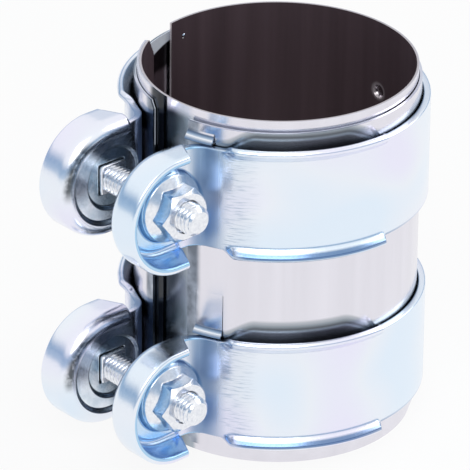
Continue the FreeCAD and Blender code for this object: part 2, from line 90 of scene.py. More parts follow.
class ConnectorSizes(bpy.types.PropertyGroup):
    """Sizes of the pieces that are finished here."""

    band_line: length("Band radius", 38.367, "From the bands' axis to the middle of their sheet")
    band_wall: length("Band sheet", 2.0, "Thickness of the bands' sheet")
    band_half: length("Half width", 14.0, "From a band's middle to its plain edge")
    off_centre: length("Off centre", 0.3667, "The bands' axis from the pipe's axis, towards the ears")
    plate_line: length("Plate", 10.2, "From the slot's middle to the middle of an ear's sheet")
    root_bend: length("Root bend", 6.0, "Radius of the bend between band and ear, at the middle of the sheet")
    bolt_out: length("Bolt", 47.246, "From the bands' axis to a bolt")
    ear_past_bolt: length("Ear past bolt", 1.8, "Centre of the ear's round end, out from the bolt")
    wall_past_bolt: length("Wall past bolt", 5.0, "End of the ear's wall, in from the bolt")
    wall_crop: length("Wall slant", 3.9, "Slant at the end of the ear's wall")
    ear_round: length("Ear radius", 15.8, "Radius of the ear's round end")
    ear_depth: length("Ear depth", 10.0, "From the bead's crest to the wall's rim")
    bead_round: length("Bead radius", 3.5, "Outer radius of the bead")
    bead_rise: length("Bead rise", 1.0, "Crest of the bead above the plate")
    bead_slope: length("Bead slope", 1.4, "Width of the slope from the bead to the plate")
    pad_radius: length("Pad radius", 9.0, "Radius of the flat of the pressed pad")
    pad_rise: length("Pad rise", 1.2, "Height of the pressed pad")
    pad_slope: length("Pad slope", 0.8, "Width of the slope round the pad")
    round_hole: length("Round hole", 4.4, "Radius of the hole in the near ear")
    square_hole: length("Square hole", 4.25, "Half of the square hole in the far ear")
    lip_length: length("Lip length", 5.2, "Length of a lip along its sheet")
    liner_wall: length("Liner sheet", 0.7, "Thickness of the liner's sheet")
    hole_radius: length("Dimple's hole", 4.1, "Radius of the hole at the back of a band")
    hole_block: length("Round the hole", 6.0, "Half of the square in which the grid gives way to the hole")
    dimple_shift: length("Dimple", 1.8, "The dimple's hole from the band's middle, away from the other band")
    bolt_radius: length("Bolt radius", 4.0, "Radius of the thread's crest")
    tip_crop: length("Bolt's tip", 1.1, "Cone at the tip of a bolt")
    head_rise: length("Head", 4.6, "Height of the domed head")
    head_edge: length("Head's edge", 1.0, "Upright edge of the head")
    nut_bore: length("Nut's bore", 4.05, "Radius of the bore in a nut")
    thread_pitch: length("Thread pitch", 1.25, "Distance from thread to thread of the bolts")
    thread_depth: length("Thread depth", 0.7, "From a thread's crest to its root")
    neck_size: length("Square neck", 8.0, "Side of the square neck under the bolt's head")
    neck_length: length("Neck length", 3.0, "Length of the square neck")
    nut_flats: length("Nut", 13.0, "Nut across flats")
    weld_dot: length("Weld dot", 0.8, "Radius of the spot weld's mark inside the liner")


class ConnectorColours(bpy.types.PropertyGroup):
    """Colours of the metals, and of the shade painted on them, as sRGB hex colours."""

    zinc: hex_colour("Zinc", "#EDF2FA", "Blue passivated zinc")
    # Painted shade of the tight bends between band and ear
    shade: hex_colour("Bends", "#5A86B0", "Zinc in the tight bends")
    stainless: hex_colour("Stainless", "#E8E6EE", "Rolled stainless sheet")
    # Painted shade of the liner's inner face
    inside_shade: hex_colour("Inside", "#5E4E54", "Shaded inner face of the liner")


# Mesh helpers

def grid_faces(rows, cols, around_rows=False, around_cols=False):
    """Quads between neighbouring rows and columns of a grid of points, closed round where asked."""
    r = np.arange(rows if around_rows else rows - 1)[:, None]
    c = np.arange(cols if around_cols else cols - 1)[None, :]
    r1, c1 = (r + 1) % rows, (c + 1) % cols
    corners = np.stack([r * cols + c, r * cols + c1, r1 * cols + c1, r1 * cols + c], axis=-1)
    return corners.reshape(-1, 4)


def outward(points, faces):
    """The shell with its faces turned outward, by the sign of a sixth of the triple products' sum."""
    a, b, c, d = (points[faces[:, k]] for k in range(4))
    volume = np.einsum("ij,ij->", a, np.cross(b, c)) + np.einsum("ij,ij->", a, np.cross(c, d))
    return points, faces if volume > 0 else faces[:, ::-1]


def ring_shell(grid):
    """A closed shell from a grid that runs round both ways."""
    rows, cols = grid.shape[:2]
    return outward(grid.reshape(-1, 3), grid_faces(rows, cols, True, True))


def ladder_faces(rows, cols):
    """Faces of a tube of closed rings, each end closed by rungs from a ring's first half to its second."""
    k = np.arange(cols // 2 - 1)
    rungs = np.stack([k, k + 1, cols - 2 - k, cols - 1 - k], axis=-1)
    side = grid_faces(rows, cols, around_cols=True)
    return np.concatenate([side, rungs[:, ::-1], rungs + (rows - 1) * cols])


def ladder_shell(rings):
    """A tube of closed rings with its two ends closed."""
    return outward(rings.reshape(-1, 3), ladder_faces(*rings.shape[:2]))


def tube_shell(rings):
    """A tube of closed rings whose two ends are drawn together to their middles."""
    ends = [np.broadcast_to(ring.mean(0), ring.shape)[None] for ring in (rings[0], rings[-1])]
    near = [ends[0] + (rings[:1] - ends[0]) * 1e-3, rings, ends[1] + (rings[-1:] - ends[1]) * 1e-3]
    return ladder_shell(np.concatenate(near))


def add_piece(name, shells, body, material, replaced=(), sharp=38):
    """One object from closed shells in millimetres, riding on a body of the frame."""
    points, faces, first = [], [], 0
    for shell_points, shell_faces in shells:
        points.append(shell_points)
        faces.append(shell_faces + first)
        first += len(shell_points)
    points, faces = np.concatenate(points) * MM, np.concatenate(faces)
    mesh = bpy.data.meshes.new(name)
    mesh.vertices.add(len(points))
    mesh.vertices.foreach_set("co", points.ravel().astype(np.float32))
    mesh.loops.add(faces.size)
    mesh.loops.foreach_set("vertex_index", faces.ravel().astype(np.int32))
    mesh.polygons.add(len(faces))
    mesh.polygons.foreach_set("loop_start", np.arange(0, faces.size, 4, dtype=np.int32))
    mesh.update(calc_edges=True)
    mesh.validate()
    mesh.shade_smooth()
    mesh.set_sharp_from_angle(angle=math.radians(sharp))
    mesh.materials.append(material)
    piece = bpy.data.objects.new(name, mesh)
    bpy.context.scene.collection.objects.link(piece)
    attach(piece, body)
    if replaced:
        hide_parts(*replaced)
    return piece


def smooth(t):
    """0 below 0, 1 above 1 and an S-curve, 3 t squared less 2 t cubed, between them."""
    t = np.clip(t, 0, 1)
    return t * t * (3 - 2 * t)


def box_mm(node):
    """The two corners of a node's box, in millimetres."""
    return [np.array(corner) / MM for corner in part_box(node)]


class Sizes:
    """The property group's lengths in millimetres, with the places worked out from them."""

    def __init__(self, group):
        for name in ConnectorSizes.__annotations__:
            setattr(self, name, getattr(group, name) / MM)
        self.half_wall = self.band_wall / 2
        self.ear_out = self.bolt_out + self.ear_past_bolt
        self.wall_end = self.bolt_out - self.wall_past_bolt
        reach = self.band_line + self.root_bend
        self.bend_y = self.plate_line + self.root_bend
        self.bend_x = math.sqrt(reach ** 2 - self.bend_y ** 2)
        self.bend_angle = math.asin(self.bend_y / reach)


# Finishes

def add_node(tree, kind, settings=None, **inputs):
    """Add a node, set its properties and fill its sockets by value or from another socket."""
    node = tree.nodes.new(kind)
    for key, value in (settings or {}).items():
        setattr(node, key, value)
    for key, value in inputs.items():
        number = key[0] == "_" and key[1:].isdigit()
        socket = node.inputs[int(key[1:])] if number else node.inputs[key.replace("_", " ")]
        if isinstance(value, bpy.types.NodeSocket):
            tree.links.new(value, socket)
        else:
            socket.default_value = value
    return node


def math_node(tree, operation, *terms):
    inputs = {"_%d" % i: term for i, term in enumerate(terms)}
    return add_node(tree, "ShaderNodeMath", {"operation": operation}, **inputs).outputs[0]


def times(tree, *terms):
    """The product of two or more values."""
    product = terms[0]
    for term in terms[1:]:
        product = math_node(tree, "MULTIPLY", product, term)
    return product


def long_side(tree, a, b):
    """The long side of a right-angled triangle: the root of a squared and b squared."""
    return math_node(tree, "SQRT", math_node(tree, "ADD", times(tree, a, a), times(tree, b, b)))


def vector_node(tree, operation, output, *terms):
    inputs = {"_%d" % i: term for i, term in enumerate(terms)}
    return add_node(tree, "ShaderNodeVectorMath", {"operation": operation}, **inputs).outputs[output]


def span_node(tree, value, low, high, first=0.0, last=1.0):
    """A value carried from the span low..high to first..last, smoothly and held at the ends."""
    node = add_node(tree, "ShaderNodeMapRange", {"interpolation_type": "SMOOTHSTEP"}, Value=value,
                    From_Min=low, From_Max=high, To_Min=first, To_Max=last)
    return node.outputs["Result"]


def span_mm(tree, value, low, high, first=0.0, last=1.0):
    """The same with the span in millimetres."""
    return span_node(tree, value, low * MM, high * MM, first, last)


def fall_mm(tree, value, low, high, first=1.0):
    """The same, falling to nothing."""
    return span_mm(tree, value, low, high, first, 0.0)


def within(tree, value, window, unit=MM):
    """A window that opens over its first two numbers and shuts over its last two."""
    a, b, c, d = (edge * unit for edge in window)
    return times(tree, span_node(tree, value, a, b), span_node(tree, value, c, d, 1.0, 0.0))


def mix_node(tree, factor, first, second):
    node = add_node(tree, "ShaderNodeMix", {"data_type": "RGBA"}, _0=factor, _6=first, _7=second)
    return node.outputs[2]


def paint(tree, colour, share, code):
    """The colour with a share of an sRGB hex colour over it."""
    return mix_node(tree, share, colour, linear(code))


def noise_node(tree, place, scale, detail=2.0):
    return add_node(tree, "ShaderNodeTexNoise", Vector=place, Scale=scale, Detail=detail).outputs["Fac"]


def ramp_node(tree, factor, *stops):
    """A colour ramp with stops of a place and an sRGB hex colour."""
    node = add_node(tree, "ShaderNodeValToRGB", Fac=factor)
    ramp = node.color_ramp
    while len(ramp.elements) < len(stops):
        ramp.elements.new(0.5)
    for element, (place, code) in zip(ramp.elements, stops):
        element.position = place
        element.color = linear(code)
    return node.outputs["Color"]


def start_material(name):
    material = bpy.data.materials.new(name)
    material.use_nodes = True
    tree = material.node_tree
    tree.nodes.clear()
    out = add_node(tree, "ShaderNodeOutputMaterial")
    place = add_node(tree, "ShaderNodeTexCoord").outputs["Object"]
    return material, tree, out, place


# Depth of the sheets' grain, in millimetres
GRAIN_DEPTH = 0.05


def finish_material(tree, out, colour, metal, rough, height, strength):
    bump = add_node(tree, "ShaderNodeBump", Height=height, Strength=strength, Distance=GRAIN_DEPTH * MM)
    shader = add_node(tree, "ShaderNodeBsdfPrincipled", Base_Color=colour, Metallic=metal,
                      Roughness=rough, Normal=bump.outputs["Normal"])
    tree.links.new(shader.outputs[0], out.inputs[0])


def band_levels():
    """Height halfway between the two bands, and from there to the middle of a band, in millimetres."""
    low, high = ((box[0][2] + box[1][2]) / 2 for box in (box_mm("band_lower"), box_mm("band_upper")))
    return (low + high) / 2, (high - low) / 2


# Windows of the painted shade and reflections on the zinc, in millimetres: along X at the bend, out from the
# bolt at the pad, out from the ear's middle line, up from the band's middle and along Y for the streak, and
# up for the lip's line
BEND_SHADE = (-42.5, -38.0, -37.2, -33.5)
BEND_STREAKS = (-37.2, -35.2, -34.0, -29.0)
PAD_FOOT = (9.1, 9.7, 9.9, 10.3)
PAD_HOLLOW = (7.6, 8.1, 8.7, 9.2)
STREAK_OUT = (12.4, 13.7, 14.1, 15.4)
STREAK_UP = (-3.0, 2.0, 10.5, 13.5)
STREAK_DEEP = (0.0, 4.0, 11.5, 13.5)
LIP_LINE = (-15.0, -14.6, -13.6, -13.0)


def zinc_finish(colours, s):
    """Zinc plate, blue passivated: bright and smooth, with painted shade in the bends and in the hollows of
    the ears.
    """
    material, tree, out, place = start_material("zinc plate, blue passivated")
    x, y, z = add_node(tree, "ShaderNodeSeparateXYZ", Vector=place).outputs
    # Cast of the passivation: patches about 30 mm across
    tint = ramp_node(tree, noise_node(tree, place, 30.0, 1.0),
                     (0.36, "#ECEBFB"), (0.5, colours.zinc), (0.64, "#E4F0FC"))
    # Painted shade in the bend between band and ear, darkest in its middle, and scratched streaks of it along
    # the band beside it, partly real scratches and partly painted reflection
    rubbed = add_node(tree, "ShaderNodeMapping", Vector=place, Scale=(0.1, 0.1, 1.0)).outputs[0]
    scratches = span_node(tree, noise_node(tree, rubbed, 2400.0, 2.0), 0.45, 0.75, 0.12, 0.5)
    bend_shade_mask = within(tree, x, BEND_SHADE)
    beside = times(tree, within(tree, x, BEND_STREAKS), scratches)
    colour = paint(tree, tint, math_node(tree, "MAXIMUM", times(tree, bend_shade_mask, 0.75), beside), colours.shade)
    # Height from the band's middle, with its sign and turned away from the other band, the distance from
    # the middle line of the ear, and the distance from the bolt's axis
    centre, apart = band_levels()
    level = math_node(tree, "SUBTRACT", z, centre * MM)
    rise = math_node(tree, "SUBTRACT", math_node(tree, "ABSOLUTE", level), apart * MM)
    up = times(tree, rise, math_node(tree, "SIGN", level))
    past = math_node(tree, "MINIMUM", math_node(tree, "ADD", x, (s.ear_out + s.off_centre) * MM), 0.0)
    reach = long_side(tree, rise, past)
    off_bolt = long_side(tree, rise, math_node(tree, "ADD", x, (s.bolt_out + s.off_centre) * MM))
    # Painted shade in the hollow of the far ear on the slot's side: mottled steel blue
    hollow = times(tree, span_mm(tree, y, 8.5, 9.8), fall_mm(tree, x, -43.0, -40.0),
                   fall_mm(tree, reach, 11.5, 12.5), 0.9)
    mottled = ramp_node(tree, noise_node(tree, place, 260.0, 4.0), (0.35, "#A9C2D4"), (0.62, "#E4EEF6"))
    colour = mix_node(tree, hollow, colour, mottled)
    # Painted shade in the trough round the near ear's pad, on the nut's side
    trough = times(tree, fall_mm(tree, y, -10.6, -9.8), fall_mm(tree, reach, 13.6, 14.1),
                   fall_mm(tree, x, -46.0, -41.0), 0.7)
    colour = paint(tree, colour, trough, "#B9DAF4")
    # Painted shade in lines at the foot of the pad on the near ear, and at the edge of its hollow on the far
    # ear
    foot = times(tree, within(tree, off_bolt, PAD_FOOT), fall_mm(tree, y, -10.4, -10.1, 0.75))
    colour = paint(tree, colour, foot, "#5D88B6")
    edge = times(tree, within(tree, off_bolt, PAD_HOLLOW), span_mm(tree, y, 8.5, 9.0, 0.0, 0.6),
                 fall_mm(tree, y, 10.6, 10.8))
    colour = paint(tree, colour, edge, "#4A5966")
    # Painted bluish shade on the inside of the near ear's wall
    inside = times(tree, fall_mm(tree, y, -11.2, -10.5), fall_mm(tree, x, -40.0, -37.0),
                   math_node(tree, "LESS_THAN", reach, (s.ear_round - s.half_wall) * MM),
                   math_node(tree, "GREATER_THAN", reach, (s.ear_round - s.band_wall - 0.3) * MM), 0.8)
    colour = paint(tree, colour, inside, "#9CCBEE")
    # Painted dark reflection in a streak along the far ear's bead
    streak = times(tree, within(tree, reach, STREAK_OUT), within(tree, up, STREAK_UP),
                   within(tree, y, STREAK_DEEP), fall_mm(tree, x, -56.0, -51.5),
                   span_node(tree, noise_node(tree, place, 520.0, 4.0), 0.3, 0.55, 0.45, 0.9))
    colour = paint(tree, colour, streak, "#343C42")
    # Painted reflection of the dark floor as a line in the bend of each lower lip, fading towards the back
    lip = times(tree, within(tree, up, LIP_LINE), span_mm(tree, x, -12.0, 22.0, 0.85, 0.15),
                span_mm(tree, x, -36.0, -33.0))
    colour = paint(tree, colour, lip, "#4F79AB")
    # Grain of the plate, drawn at 0.6 mm, and the bend rubbed dull
    grain = noise_node(tree, place, 1700.0, 3.0)
    rough = math_node(tree, "MAXIMUM", span_node(tree, grain, 0.3, 0.7, 0.17, 0.25), times(tree, bend_shade_mask, 0.42))
    finish_material(tree, out, colour, 1.0, rough, grain, 0.04)
    return material


# The dark reflection on the sleeve above each lip: angles from the ears in radians over which it rises out of
# the lip and sinks back; then in millimetres up from the lip's tip the span of its colours, where it fades
# and where it starts behind the lip, and how far it sinks at both ends
MIRROR_TURN = (0.42, 0.7, 1.3, 1.62)
MIRROR_SPAN = (-2.0, 4.4)
MIRROR_FADE = (3.4, 4.3)
MIRROR_START = (-8.0, -6.0)
MIRROR_SINK = 4.5


def stainless_finish(colours, s, kind):
    """Cold rolled stainless sheet, nearly a mirror with faint rolling lines.

    The liner has painted shade inside, and the sheet in the slot and the sleeve above each lip have painted
    dark reflections of their surroundings.
    """
    material, tree, out, place = start_material("rolled stainless sheet, " + kind)
    x, y, z = add_node(tree, "ShaderNodeSeparateXYZ", Vector=place).outputs
    # Rolling lines run up the pipe, about 4 mm apart
    drawn = add_node(tree, "ShaderNodeMapping", Vector=place, Scale=(1.0, 1.0, 0.03)).outputs[0]
    lines = noise_node(tree, drawn, 240.0, 3.0)
    colour = ramp_node(tree, lines, (0.3, "#E2E0E8"), (0.7, colours.stainless))
    metal, rough = 1.0, 0.2
    flat = vector_node(tree, "MULTIPLY", "Vector", place, (1.0, 1.0, 0.0))
    reach = vector_node(tree, "LENGTH", "Value", flat)
    # Angle from the ears, in radians: 0 at the slot's middle, negative towards the near ear
    turn = math_node(tree, "ARCTAN2", y, times(tree, x, -1.0))
    away = math_node(tree, "ABSOLUTE", turn)
    if kind == "liner":
        outside = box_mm("inner_liner")[1][1]
        inside = outside - s.liner_wall + 0.1
        inner = math_node(tree, "LESS_THAN", reach, inside * MM)
        # Painted shade: the inner face is dark brown, as the inside of the tube lies in shade
        inside_shade = ramp_node(tree, noise_node(tree, drawn, 160.0, 4.0), (0.3, "#4A3C41"), (0.7, colours.inside_shade))
        # Painted shade and reflection on the outer face seen through the slot: pale towards the near ear,
        # dark from the slot's middle on
        slot = ramp_node(tree, span_node(tree, turn, -0.2, 0.0), (0.0, "#A9B2BC"), (1.0, "#3A4249"))
        shown = times(tree, span_node(tree, away, 0.24, 0.2), span_mm(tree, z, 97.0, 94.0))
        colour = mix_node(tree, shown, colour, slot)
        colour = mix_node(tree, inner, colour, inside_shade)
        # Painted highlight: the cut edges of the sheet are painted pale, and they are dull
        cut = times(tree, math_node(tree, "GREATER_THAN", reach, inside * MM),
                    math_node(tree, "LESS_THAN", reach, (outside - 0.1) * MM))
        colour = paint(tree, colour, cut, "#C9C1C4")
        # The dimples' hollows catch the light
        centre, apart = band_levels()
        height = math_node(tree, "ABSOLUTE", math_node(tree, "SUBTRACT", z, centre * MM))
        height = math_node(tree, "SUBTRACT", height, (apart + s.dimple_shift) * MM)
        dimple = times(tree, fall_mm(tree, long_side(tree, height, y), 1.8, 3.0, 0.7),
                       math_node(tree, "GREATER_THAN", x, 0.0))
        colour = paint(tree, colour, dimple, "#B5ADB2")
        dull = math_node(tree, "MAXIMUM", times(tree, inner, 0.75), times(tree, cut, 0.6))
        metal = math_node(tree, "SUBTRACT", 1.0, dull)
        rough = math_node(tree, "ADD", rough, times(tree, inner, 0.25))
    if kind == "strip":
        # Dark only in the slot, where it mirrors the ears' undersides
        dark = ramp_node(tree, lines, (0.3, "#1E2126"), (0.7, "#3C4148"))
        colour = mix_node(tree, span_node(tree, away, 0.3, 0.22), colour, dark)
    if kind == "sleeve":
        # Mirrored above each lip: its top edge sinks behind the lip at both ends
        bulge = within(tree, away, MIRROR_TURN, 1.0)
        sunk = times(tree, math_node(tree, "SUBTRACT", 1.0, bulge), MIRROR_SINK * MM)
        for level in LEVELS:
            tip = box_mm("band_" + level)[1][2]
            above = math_node(tree, "SUBTRACT", math_node(tree, "ADD", z, sunk), tip * MM)
            crescent = times(tree, fall_mm(tree, above, *MIRROR_FADE),
                             span_mm(tree, z, tip + MIRROR_START[0], tip + MIRROR_START[1]), 0.92)
            mirrored = ramp_node(tree, span_mm(tree, above, *MIRROR_SPAN),
                                 (0.0, "#1E2429"), (0.3, "#2E363D"), (0.45, "#78848E"),
                                 (0.6, "#3F4850"), (0.8, "#8C969F"), (1.0, "#C4C7CE"))
            colour = mix_node(tree, crescent, colour, mirrored)
        # Painted shade and reflection: the sheet darkens towards the slot, in swirls
        swirl = ramp_node(tree, noise_node(tree, place, 170.0, 3.0),
                          (0.35, "#566270"), (0.55, "#8D98A8"), (0.7, "#C3CAD6"))
        colour = mix_node(tree, times(tree, span_node(tree, away, 0.3, 0.25), 0.9), colour, swirl)
        # Inside, where the liner's gap shows it, the top of the sleeve catches the light along a slanted edge
        low, high = box_mm("outer_sleeve")
        offset = vector_node(tree, "SUBTRACT", "Vector", flat, ((low[0] + high[0]) / 2 * MM, 0.0, 0.0))
        bore = vector_node(tree, "LENGTH", "Value", offset)
        slant = math_node(tree, "ADD", z, times(tree, away, -8.0 * MM))
        lit = times(tree, math_node(tree, "LESS_THAN", bore, (high[1] - 0.55) * MM),
                    span_mm(tree, slant, high[2] - 14.0, high[2] - 13.4))
        colour = paint(tree, colour, lit, "#E3EAF4")
        metal = math_node(tree, "SUBTRACT", 1.0, times(tree, lit, 0.9))
        # The flared ends of the tabs stand clear of the sleeve; painted shade and highlight run across them,
        # dark blue at the foot, pale in the middle and blue at the tip
        flare = math_node(tree, "SUBTRACT", reach, (high[1] + 0.5) * MM)
        tab = ramp_node(tree, span_mm(tree, flare, 0.0, 1.6),
                        (0.0, "#3E5676"), (0.35, "#9FB4CE"), (0.6, "#EEF2F8"), (1.0, "#6D87A8"))
        colour = mix_node(tree, span_mm(tree, flare, 0.0, 0.2), colour, tab)
    finish_material(tree, out, colour, metal, rough, lines, 0.02)
    return material


def bolt_finish():
    """Bright zinc on rolled threads: silver-white, a little duller than the bands."""
    material, tree, out, place = start_material("bright zinc on forged steel")
    grain = noise_node(tree, place, 1200.0, 3.0)
    colour = ramp_node(tree, grain, (0.3, "#E4E7EE"), (0.7, "#F4F6FA"))
    finish_material(tree, out, colour, 1.0, 0.2, grain, 0.03)
    return material


def dress(node, material):
    mesh = NODES[node].data
    mesh.materials.clear()
    mesh.materials.append(material)


# The sleeve and its spot weld

# Angle from +X and depth below the rim, then the height of the mark and how far it is sunk in the wall
WELD_TURN = math.radians(92.8)
WELD_DOWN = 5.2
WELD_RISE = 0.3
WELD_LAP = 0.05
WELD_SINK = 0.2


def dot_shell(radius, angle, height, spread):
    """A low dome on the liner's inner face: its depth is a cosine of the distance from its middle."""
    reach = np.linspace(0.02, 1, 8)[:, None]
    turn = (np.arange(24) * np.pi / 12)[None, :]
    along, up = reach * spread * np.cos(turn), reach * spread * np.sin(turn)
    inner = radius - WELD_RISE * np.cos(reach * np.pi / 2) + WELD_LAP + 0 * turn
    dome = np.stack([inner, along, height + up], axis=-1)
    back = np.stack([radius + WELD_SINK + 0 * inner, along, height + up], axis=-1)
    flat = np.concatenate([dome, back[::-1]])
    x, y = flat[..., 0], flat[..., 1]
    c, s = math.cos(angle), math.sin(angle)
    return tube_shell(np.stack([x * c - y * s, x * s + y * c, flat[..., 2]], -1))


class CONNECTOR_OT_sleeve(bpy.types.Operator):
    """Finish the liner, the strip and the sleeve, and mark the spot weld."""

    bl_idname = "connector.sleeve"
    bl_label = "Sleeve"

    def execute(self, context):
        colours = context.scene.connector_colours
        s = Sizes(context.scene.connector_sizes)
        for node, kind in (("inner_liner", "liner"), ("outer_sleeve", "sleeve"), ("backing_strip", "strip")):
            dress(node, stainless_finish(colours, s, kind))
        high = box_mm("inner_liner")[1]
        dot = dot_shell(high[1] - s.liner_wall, WELD_TURN, high[2] - WELD_DOWN, s.weld_dot)
        add_piece("spot_weld", [dot], "sleeve", bolt_finish())
        return {"FINISHED"}


# The pressed bands

def bent(s, x, z, side):
    """Carry a flat plate's points round the root bend.

    side is +1 on the nut's face and -1 on the slot's face. Past the bend's start the angle is the distance
    on the sheet's middle over its radius. The pad stands out wherever it is higher than the sheet.
    """
    rho = s.root_bend - s.half_wall * side
    turn = np.maximum(x + s.bend_x, 0) / s.root_bend
    out_x = np.where(turn > 0, -s.bend_x + rho * np.sin(turn), x)
    out_y = np.where(turn > 0, s.bend_y - rho * np.cos(turn), s.plate_line + s.half_wall * side)
    reach = np.hypot(out_x + s.bolt_out, z)
    flat = s.pad_radius - (0 if side > 0 else s.half_wall)
    face = s.plate_line + s.half_wall * side
    pad = face + s.pad_rise * (1 - smooth((reach - flat) / s.pad_slope))
    return out_x, np.maximum(out_y, pad)


def line(start, end, count):
    """Points from start towards end, the end left out."""
    t = np.arange(count)[:, None] / count
    return np.array(start) * (1 - t) + np.array(end) * t


# How far round the root bend an ear's plate goes, where the hoop takes over
JOIN_TURN = math.radians(50)
# Radii of the sheet's corners: at a free edge, at an edge that another shell hides, and in a hole's mouth
FREE_CORNER = 0.45
HIDDEN_CORNER = 0.03
MOUTH_CORNER = 0.25
# How far an ear's plate runs on under the bead and under the wall's end
BEAD_LAP = 0.4
WALL_LAP = 0.3
# A power mean of this order draws a square with rounded corners
SQUARENESS = 16


def plate_shell(s, square, sign):
    """An ear's plate with its pad and hole, from the bead to part of the way round the root bend.

    Along rays from the bolt to points on the plate's outline the surface goes from the hole over the nut's
    face to the outline, round the edge, back over the slot's face and through the hole.
    """
    edge = s.ear_round - s.bead_round - s.bead_slope + BEAD_LAP
    join = -s.bend_x + s.root_bend * JOIN_TURN
    step = -s.wall_end - WALL_LAP
    back = -s.bolt_out + (step + s.bolt_out) * edge / s.band_half
    arc = np.linspace(np.pi / 2, 3 * np.pi / 2, 53)[:-1, None]
    round_end = np.hstack([-s.ear_out + edge * np.cos(arc), edge * np.sin(arc)])
    upper = [(join, s.band_half), (step, s.band_half), (back, edge), (-s.ear_out, edge)]
    lower = [(x, -z) for x, z in upper[::-1]]
    runs = [line(*run) for run in zip(upper, upper[1:], (16, 6, 10))] + [round_end]
    runs += [line(*run) for run in zip(lower, lower[1:] + upper[:1], (10, 6, 16, 40))]
    outline = np.concatenate(runs)
    corners = [FREE_CORNER] + 5 * [HIDDEN_CORNER] + [FREE_CORNER, HIDDEN_CORNER]
    corner = np.repeat(corners, [len(run) for run in runs])[None, :]
    ray = outline - np.array([-s.bolt_out, 0.0])
    far = np.linalg.norm(ray, axis=1)
    ray = ray / far[:, None]
    if square:
        hole = s.square_hole / (np.abs(ray) ** SQUARENESS).sum(1) ** (1 / SQUARENESS)
    else:
        hole = np.full(len(ray), s.round_hole)
    # The rows lie close together from inside the pad's edge to outside its slope
    pad_in, pad_out = s.pad_radius - 1.4, s.pad_radius + s.pad_slope + 0.4
    # Down the section: distance along the ray as a stretch number and a share, and the level in the sheet
    quarter = np.linspace(0, np.pi / 2, 5)[:, None]
    inner_run = hole + (pad_in - hole) * np.linspace(0.12, 1, 6)[:, None]
    pad_run = np.linspace(pad_in, pad_out, 20)[1:, None] + 0 * hole
    outer_run = pad_out + (far - corner - pad_out) * np.linspace(0, 1, 8)[1:-1, None]
    face = np.concatenate([inner_run, pad_run, outer_run])
    rim = far - corner * (1 - np.sin(quarter))
    rim_level = 1 - corner / s.half_wall * (1 - np.cos(quarter))
    mouth = hole + MOUTH_CORNER * (1 - np.sin(quarter))
    mouth_level = 1 - MOUTH_CORNER / s.half_wall * (1 - np.cos(quarter)) + 0 * hole
    reach = np.concatenate([face, rim, rim[::-1], face[::-1], mouth, mouth[::-1]])
    level = np.concatenate([np.ones_like(face), rim_level, -rim_level[::-1], -np.ones_like(face),
                            -mouth_level, mouth_level[::-1]])
    x = -s.bolt_out + ray[:, 0] * reach
    z = ray[:, 1] * reach
    (x1, y1), (x0, y0) = bent(s, x, z, 1), bent(s, x, z, -1)
    share = (level + 1) / 2
    grid = np.stack([x0 + (x1 - x0) * share, (y0 + (y1 - y0) * share) * sign, z], axis=-1)
    return ring_shell(grid)


# Corner at the wall's rim, how far its faces lie within the plate's, and from what height of the sheet the
# wall's end slants
RIM_CORNER = 0.6
FACE_LAP = 0.02
SLANT_FROM = 1.25


def wall_shell(s, sign):
    """The bead and wall round an ear: a section carried along two straight sides and a half circle.

    Out from the plate the section dips by an S-curve to the bead's crest, turns by a quarter circle and
    runs up to a rounded rim; both ends slant back towards the rim.
    """
    face = s.plate_line - s.half_wall
    crest = face - s.bead_rise
    middle = s.ear_round - s.bead_round
    start = middle - s.bead_slope
    rim = crest + s.ear_depth
    t = np.linspace(0, 1, 9)
    quarter = np.linspace(0, np.pi / 2, 10)[1:]
    edge = np.linspace(0, np.pi / 2, 6)[1:]
    rise = np.linspace(0, 1, 7)[1:]
    curves = []
    for level, radius, turn in ((face + FACE_LAP, s.bead_round, 1),
                                (face + s.band_wall - FACE_LAP, s.bead_round - s.band_wall, -1)):
        drop = s.bead_rise + FACE_LAP * turn
        slope = np.stack([start + s.bead_slope * t, level - drop * smooth(t)], -1)
        out, deep = middle + radius * np.sin(quarter), crest + s.bead_round - radius * np.cos(quarter)
        low, high = crest + s.bead_round, rim - RIM_CORNER
        side = np.stack([middle + radius + 0 * rise, low + (high - low) * rise], -1)
        top = np.stack([middle + radius - turn * RIM_CORNER * (1 - np.cos(edge)),
                        high + RIM_CORNER * np.sin(edge)], -1)
        curves.append(np.concatenate([slope, np.stack([out, deep], -1), side, top]))
    ring = np.concatenate([curves[0], curves[1][::-1]])
    inset = (curves[0] + curves[1]) / 2
    inset = np.concatenate([inset, inset[::-1]])
    # Along the path: a share of the straight side, then the half turn, then the other side
    along = np.array([0, 0, 0.06, 0.12, 0.25, 0.5, 0.75, 1.0])
    pull = np.array([0.35, 0.12, 0, 0, 0, 0, 0, 0])[:, None]
    away = np.array([0, 0.12, 0, 0, 0, 0, 0, 0])[:, None]
    u = ring[:, 0] + (inset[:, 0] - ring[:, 0]) * pull
    y = ring[:, 1] + (inset[:, 1] - ring[:, 1]) * pull
    foot = face + s.band_wall * SLANT_FROM
    slant = s.wall_crop * np.clip((y - foot) / (rim + 1 - foot), 0, 1)
    x = (-s.wall_end - slant - away) * (1 - along[:, None]) - s.ear_out * along[:, None]
    side = np.stack([x, y, u], -1)
    phi = np.linspace(0, np.pi, 73)[1:-1, None]
    turned = np.stack([-s.ear_out - ring[:, 0] * np.sin(phi), ring[:, 1] + 0 * phi,
                       ring[:, 0] * np.cos(phi)], -1)
    other = side[::-1] * np.array([1, 1, -1])
    rings = np.concatenate([side, turned, other])
    rings[..., 1] *= sign
    return ladder_shell(rings)


# The band's edge has a section of its own from LIP_ROOT inside the plain edge; a full lip's corner is rounder
# than a plain edge's by LIP_CORNER, and the sheet has turned out by LIP_TURN after LIP_SHARE of its length
LIP_ROOT = 3.0
LIP_CORNER = 0.4
LIP_TURN = np.pi / 4
LIP_SHARE = 0.75


